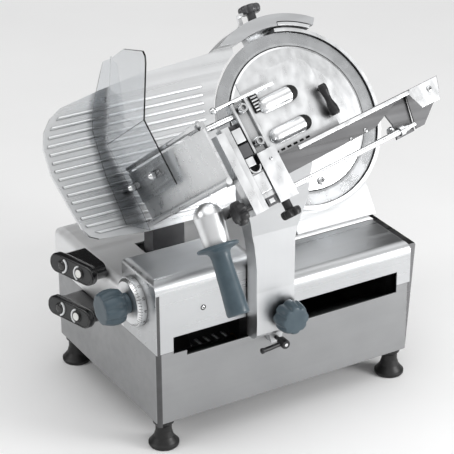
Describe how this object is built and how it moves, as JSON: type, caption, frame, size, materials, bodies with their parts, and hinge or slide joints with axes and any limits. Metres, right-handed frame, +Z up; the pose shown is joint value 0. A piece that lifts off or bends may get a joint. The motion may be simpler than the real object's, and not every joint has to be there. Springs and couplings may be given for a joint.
{
  "type": "deli meat slicer",
  "caption": "Automatic gravity-feed deli slicer: tilted round blade, ribbed gauge plate, sliding meat table with clear guard and food press.",
  "frame": {"origin": "centre of the whole machine's footprint box, at the level its feet stand on", "axes": "+X along the carriage travel to the right as the picture shows it, +Y from the carriage side to the back, +Z up"},
  "size_m": [0.7208, 0.6585, 0.7158],
  "materials": {
    "body_aluminium": "brushed",
    "cover_aluminium": "satin",
    "polished_aluminium": "polished",
    "cast_dark": "cast",
    "inner_steel": "ground",
    "blade_steel": "ground",
    "sheet_steel": "brushed",
    "chrome": "polished",
    "black_plastic": "matte",
    "gloss_black": "gloss",
    "blue_grey_plastic": "satin",
    "button_white": "gloss",
    "button_black": "gloss",
    "clear_guard": "clear",
    "foot_rubber": "matte",
    "belt_rubber": "matte",
    "bronze": "sintered",
    "motor_paint": "satin",
    "stone": "gritty",
    "knob_grey": "satin"
  },
  "bodies": {
    "base": {"base_box": "body_aluminium", "bottom_plate": "sheet_steel", "feet": "foot_rubber", "front_cover_left": "cover_aluminium", "front_cover_right": "cover_aluminium", "rear_cover": "cover_aluminium", "end_cover": "cast_dark", "guide_rods": "inner_steel", "rod_supports": "cast_dark", "drive_motor": "motor_paint", "drive_belt": "belt_rubber", "blade_housing": "cover_aluminium", "housing_back_cover": "sheet_steel", "guard_ring": "polished_aluminium", "blade_cover": "polished_aluminium", "cover_tie_rod": "knob_grey", "blade_bearings": "inner_steel", "blade_motor": "motor_paint", "blade_belt": "belt_rubber", "sharpener_body": "body_aluminium", "sharpening_wheels": "stone", "gauge_guide_rod": "inner_steel", "switch_boxes": "gloss_black", "cable_gland": "black_plastic"},
    "blade_rotor": {"blade": "blade_steel", "blade_shaft": "inner_steel", "blade_pulley": "inner_steel"},
    "motor_wheel": {"motor_pulley": "inner_steel"},
    "drive_wheel": {"drive_pulley": "inner_steel"},
    "idler_wheel": {"idler_pulley": "inner_steel"},
    "sharpener_grip": {"sharpener_knob": "knob_grey"},
    "sharpener_catch": {"sharpener_latch": "chrome"},
    "gauge": {"gauge_plate": "sheet_steel", "gauge_bracket": "cast_dark"},
    "index": {"index_knob": "blue_grey_plastic", "index_dial": "polished_aluminium"},
    "blade_start": {"blade_start_button": "button_white"},
    "blade_stop": {"blade_stop_button": "button_black"},
    "carriage_start": {"carriage_start_button": "button_white"},
    "carriage_stop": {"carriage_stop_button": "button_black"},
    "carriage": {"carriage_arm": "polished_aluminium", "slide_block": "cast_dark", "slide_bushings": "bronze", "table_floor": "sheet_steel", "end_wall": "sheet_steel", "press_rail": "chrome", "hand_guard": "clear_guard", "guard_bolts": "chrome", "table_frame": "polished_aluminium", "front_rail": "sheet_steel", "table_guide_rod": "chrome", "push_handle": "blue_grey_plastic"},
    "arm_clamp": {"arm_knob": "blue_grey_plastic"},
    "arm_catch": {"clamp_lever": "black_plastic"},
    "frame_clamp": {"frame_knob": "black_plastic"},
    "rail_clamp": {"rail_knob": "black_plastic"},
    "press": {"press_plate": "polished_aluminium", "press_bracket": "chrome", "press_grip": "black_plastic"}
  },
  "joints": [
    {"name": "carriage_slide", "type": "slide", "parent": "base", "child": "carriage", "axis": [1, 0, 0], "range_m": [-0.165, 0.222]},
    {"name": "press_slide", "type": "slide", "parent": "carriage", "child": "press", "axis": [0, 0.8192, -0.5736], "range_m": [0, 0.27]},
    {"name": "blade_spin", "type": "hinge", "parent": "base", "child": "blade_rotor", "pos_m": [0.1764, 0.1472, 0.48], "axis": [0, -0.8192, 0.5736], "continuous": true},
    {"name": "motor_spin", "type": "hinge", "parent": "base", "child": "motor_wheel", "pos_m": [0.1964, 0.08286, 0.26259], "axis": [0, -0.8192, 0.5736], "continuous": true},
    {"name": "drive_pulley_spin", "type": "hinge", "parent": "base", "child": "drive_wheel", "pos_m": [-0.2196, -0.0758, 0.104], "axis": [0, 1, 0], "range_deg": [-460, 615]},
    {"name": "idler_pulley_spin", "type": "hinge", "parent": "base", "child": "idler_wheel", "pos_m": [0.2144, -0.0758, 0.104], "axis": [0, 1, 0], "range_deg": [-460, 615]},
    {"name": "gauge_slide", "type": "slide", "parent": "base", "child": "gauge", "axis": [0, 0.8192, -0.5736], "range_m": [0, 0.024]},
    {"name": "index_turn", "type": "hinge", "parent": "base", "child": "index", "pos_m": [-0.3056, -0.0338, 0.287], "axis": [-1, 0, 0], "range_deg": [0, 331]},
    {"name": "blade_start_press", "type": "slide", "parent": "base", "child": "blade_start", "axis": [0.9519, 0.273, -0.139], "range_m": [0, 0.003], "stiffness_N_per_m": 300},
    {"name": "blade_stop_press", "type": "slide", "parent": "base", "child": "blade_stop", "axis": [0.9519, 0.273, -0.139], "range_m": [0, 0.003], "stiffness_N_per_m": 300},
    {"name": "carriage_start_press", "type": "slide", "parent": "base", "child": "carriage_start", "axis": [0.9519, 0.273, -0.139], "range_m": [0, 0.003], "stiffness_N_per_m": 300},
    {"name": "carriage_stop_press", "type": "slide", "parent": "base", "child": "carriage_stop", "axis": [0.9519, 0.273, -0.139], "range_m": [0, 0.003], "stiffness_N_per_m": 300},
    {"name": "sharpener_knob_turn", "type": "hinge", "parent": "base", "child": "sharpener_grip", "pos_m": [0.1544, 0.2883, 0.6571], "axis": [0, 0.5736, 0.8192], "range_deg": [0, 360]},
    {"name": "sharpener_latch_tilt", "type": "hinge", "parent": "base", "child": "sharpener_catch", "pos_m": [0.1204, 0.26519, 0.64154], "axis": [1, 0, 0], "range_deg": [0, 30]},
    {"name": "arm_knob_turn", "type": "hinge", "parent": "carriage", "child": "arm_clamp", "pos_m": [-0.0356, -0.1718, 0.246], "axis": [0, -1, 0], "range_deg": [0, 360]},
    {"name": "clamp_lever_turn", "type": "hinge", "parent": "carriage", "child": "arm_catch", "pos_m": [-0.0456, -0.1618, 0.19], "axis": [0, -1, 0], "range_deg": [-40, 60]},
    {"name": "frame_knob_turn", "type": "hinge", "parent": "carriage", "child": "frame_clamp", "pos_m": [-0.18997, -0.24497, 0.52838], "axis": [-0.9816, -0.1094, -0.1563], "range_deg": [0, 360]},
    {"name": "rail_knob_turn", "type": "hinge", "parent": "carriage", "child": "rail_clamp", "pos_m": [-0.08848, -0.24931, 0.50824], "axis": [0.1908, -0.563, -0.8041], "range_deg": [0, 360]}
  ],
  "couplings": [
    {"joint": "motor_spin", "follows": "blade_spin", "ratio": 2.0601},
    {"joint": "drive_pulley_spin", "follows": "carriage_slide", "rad_per_m": 47},
    {"joint": "idler_pulley_spin", "follows": "carriage_slide", "rad_per_m": 47},
    {"joint": "index_turn", "follows": "gauge_slide", "rad_per_m": 240}
  ]
}
